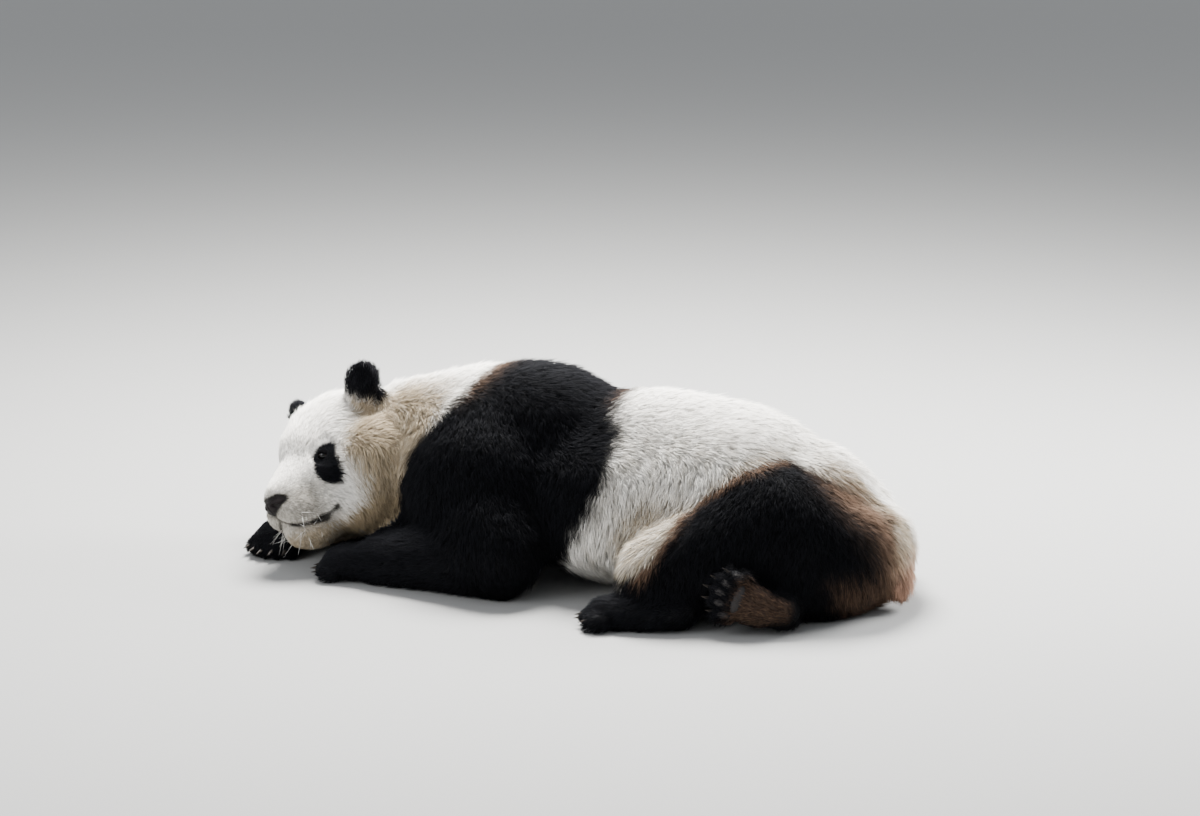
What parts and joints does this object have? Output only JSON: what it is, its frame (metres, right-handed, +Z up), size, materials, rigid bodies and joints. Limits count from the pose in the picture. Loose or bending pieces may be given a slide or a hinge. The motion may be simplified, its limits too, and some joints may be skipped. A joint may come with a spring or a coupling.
{
  "type": "giant panda",
  "caption": "Life-size still model of an adult giant panda lying prone, head turned to its left and resting on its foreleg, hind feet out to one side",
  "frame": {"origin": "centre of the bounding box's bottom, on the floor", "axes": "+Z up; the animal faces -Y, with its rump to +Y; +X is its left side, where its face looks and both hind feet lie"},
  "size_m": [0.8324, 1.606, 0.4864],
  "materials": {
    "belly": "cream white fur",
    "chest": "black fur",
    "ear_left": "black fur",
    "ear_right": "black fur",
    "eye_left": "dark brown, wet",
    "eye_right": "dark brown, wet",
    "head": "cream white fur",
    "left_foot": "black fur",
    "left_fore_claw_1": "dark horn, satin",
    "left_fore_claw_2": "dark horn, satin",
    "left_fore_claw_3": "dark horn, satin",
    "left_fore_claw_4": "dark horn, satin",
    "left_fore_claw_5": "dark horn, satin",
    "left_forearm": "black fur",
    "left_forepaw": "black fur",
    "left_hind_claw_1": "dark horn, satin",
    "left_hind_claw_2": "dark horn, satin",
    "left_hind_claw_3": "dark horn, satin",
    "left_hind_claw_4": "dark horn, satin",
    "left_hind_claw_5": "dark horn, satin",
    "left_shank": "black fur",
    "left_thigh": "black fur",
    "left_upper_arm": "black fur",
    "neck": "cream white fur",
    "nose": "black, moist",
    "right_foot": "black fur",
    "right_fore_claw_1": "dark horn, satin",
    "right_fore_claw_2": "dark horn, satin",
    "right_fore_claw_3": "dark horn, satin",
    "right_fore_claw_4": "dark horn, satin",
    "right_fore_claw_5": "dark horn, satin",
    "right_forearm": "black fur",
    "right_forepaw": "black fur",
    "right_hind_claw_1": "dark horn, satin",
    "right_hind_claw_2": "dark horn, satin",
    "right_hind_claw_3": "dark horn, satin",
    "right_hind_claw_4": "dark horn, satin",
    "right_hind_claw_5": "dark horn, satin",
    "right_shank": "black fur",
    "right_thigh": "black fur",
    "right_upper_arm": "black fur",
    "rump": "cream white fur",
    "tail": "cream white fur"
  },
  "bodies": {
    "root": {"belly": "belly", "chest": "chest", "ear_left": "ear_left", "ear_right": "ear_right", "eye_left": "eye_left", "eye_right": "eye_right", "head": "head", "left_foot": "left_foot", "left_fore_claw_1": "left_fore_claw_1", "left_fore_claw_2": "left_fore_claw_2", "left_fore_claw_3": "left_fore_claw_3", "left_fore_claw_4": "left_fore_claw_4", "left_fore_claw_5": "left_fore_claw_5", "left_forearm": "left_forearm", "left_forepaw": "left_forepaw", "left_hind_claw_1": "left_hind_claw_1", "left_hind_claw_2": "left_hind_claw_2", "left_hind_claw_3": "left_hind_claw_3", "left_hind_claw_4": "left_hind_claw_4", "left_hind_claw_5": "left_hind_claw_5", "left_shank": "left_shank", "left_thigh": "left_thigh", "left_upper_arm": "left_upper_arm", "neck": "neck", "nose": "nose", "right_foot": "right_foot", "right_fore_claw_1": "right_fore_claw_1", "right_fore_claw_2": "right_fore_claw_2", "right_fore_claw_3": "right_fore_claw_3", "right_fore_claw_4": "right_fore_claw_4", "right_fore_claw_5": "right_fore_claw_5", "right_forearm": "right_forearm", "right_forepaw": "right_forepaw", "right_hind_claw_1": "right_hind_claw_1", "right_hind_claw_2": "right_hind_claw_2", "right_hind_claw_3": "right_hind_claw_3", "right_hind_claw_4": "right_hind_claw_4", "right_hind_claw_5": "right_hind_claw_5", "right_shank": "right_shank", "right_thigh": "right_thigh", "right_upper_arm": "right_upper_arm", "rump": "rump", "tail": "tail"}
  },
  "joints": []
}
